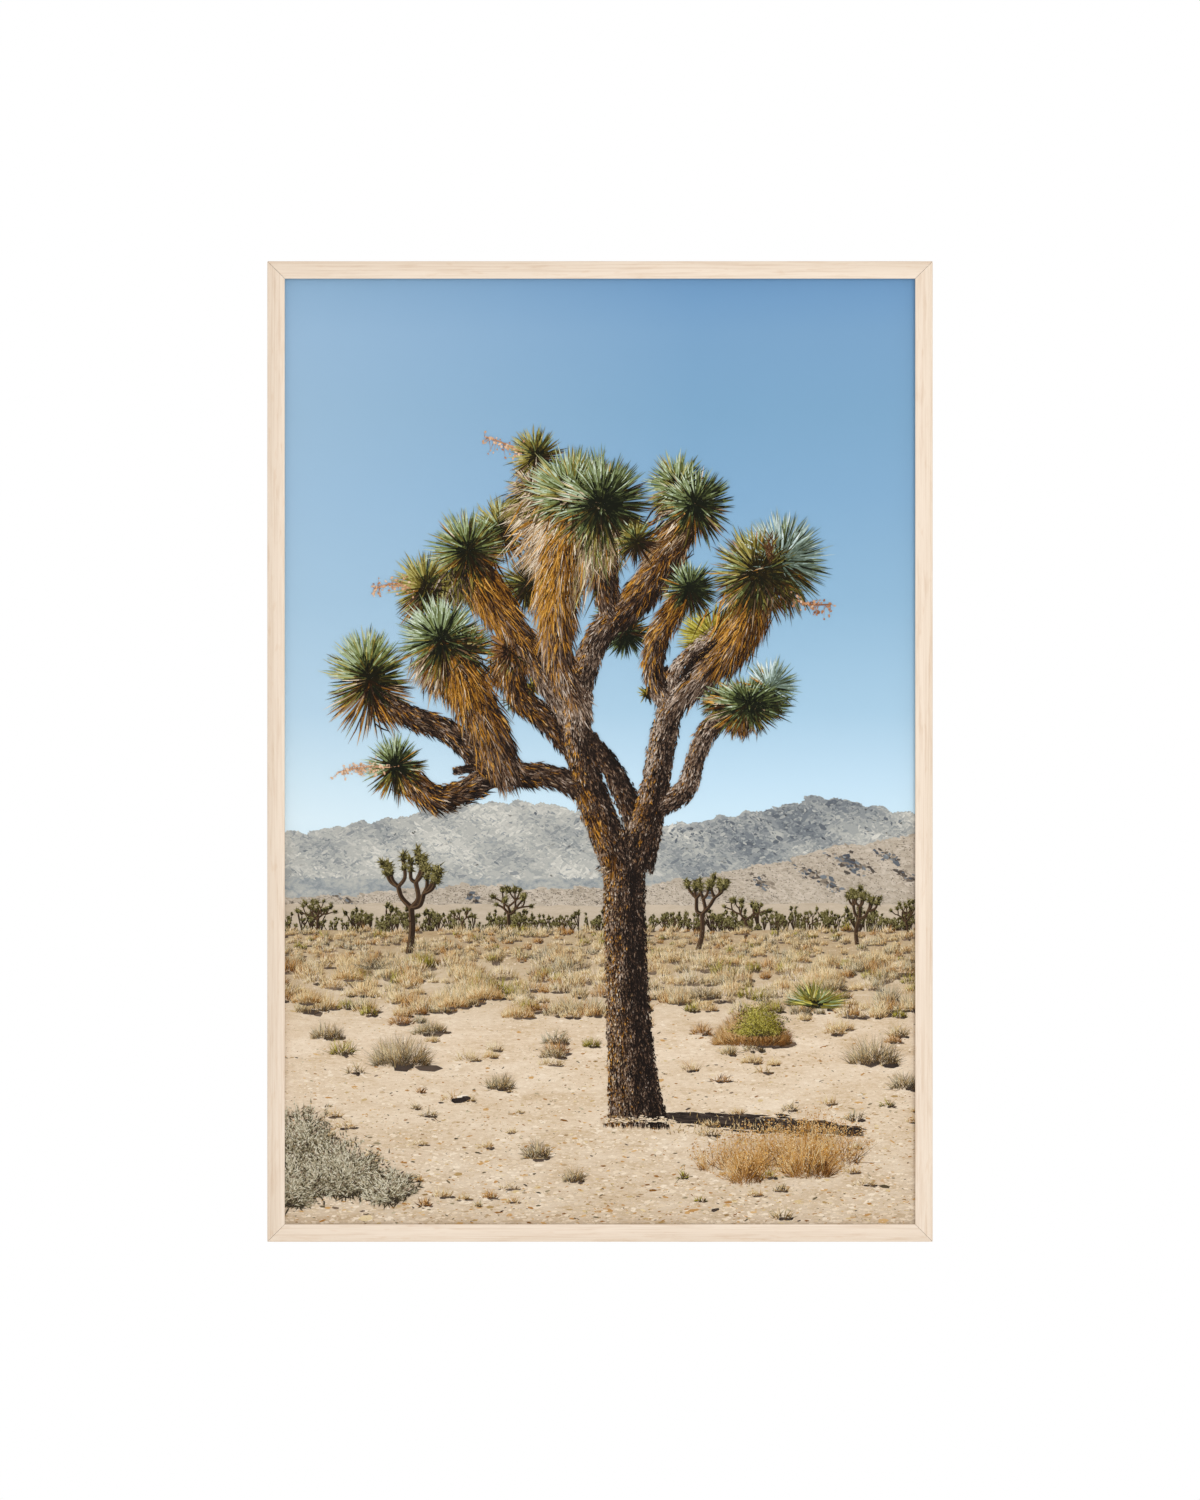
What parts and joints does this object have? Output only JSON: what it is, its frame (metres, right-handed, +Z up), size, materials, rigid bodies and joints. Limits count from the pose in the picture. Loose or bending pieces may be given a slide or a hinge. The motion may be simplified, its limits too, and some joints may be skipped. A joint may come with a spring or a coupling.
{
  "type": "framed print",
  "caption": "Tall framed landscape print under clear acrylic, in a thin square-edged light wood frame with mitred corners, hung on the wall by a toothed hanger.",
  "frame": {"origin": "middle of the hanger's raised back face, where the part rests against the wall, at the middle of the top rail's back", "axes": "+Y into the wall, -Y the way the picture faces, +Z up along the height of the frame, +X to the right as the picture is seen"},
  "size_m": [0.6332, 0.0247, 0.9332],
  "materials": {
    "frame_wood": "light maple, clear satin lacquer, fine straight grain along each rail",
    "clear_acrylic": "clear, low-reflection acrylic sheet",
    "printed_paper": "smooth matte art paper, printed, on white card",
    "hardboard": "brown fibreboard, fine fibre flecks",
    "steel": "thin spring steel, bright zinc",
    "plated_brass": "brass-plated pressed steel",
    "felt": "off-white felt pad"
  },
  "bodies": {
    "root": {"rail_top": "frame_wood", "rail_right": "frame_wood", "rail_bottom": "frame_wood", "rail_left": "frame_wood", "glazing": "clear_acrylic", "print": "printed_paper", "backing_board": "hardboard", "tab_top_a": "steel", "tab_top_b": "steel", "tab_right_a": "steel", "tab_right_b": "steel", "tab_right_c": "steel", "tab_bottom_a": "steel", "tab_bottom_b": "steel", "tab_left_a": "steel", "tab_left_b": "steel", "tab_left_c": "steel", "wedge_top_right": "steel", "wedge_bottom_right": "steel", "wedge_bottom_left": "steel", "wedge_top_left": "steel", "hanger": "plated_brass", "nail_left": "plated_brass", "nail_right": "plated_brass", "bumper_left": "felt", "bumper_right": "felt"}
  },
  "joints": []
}
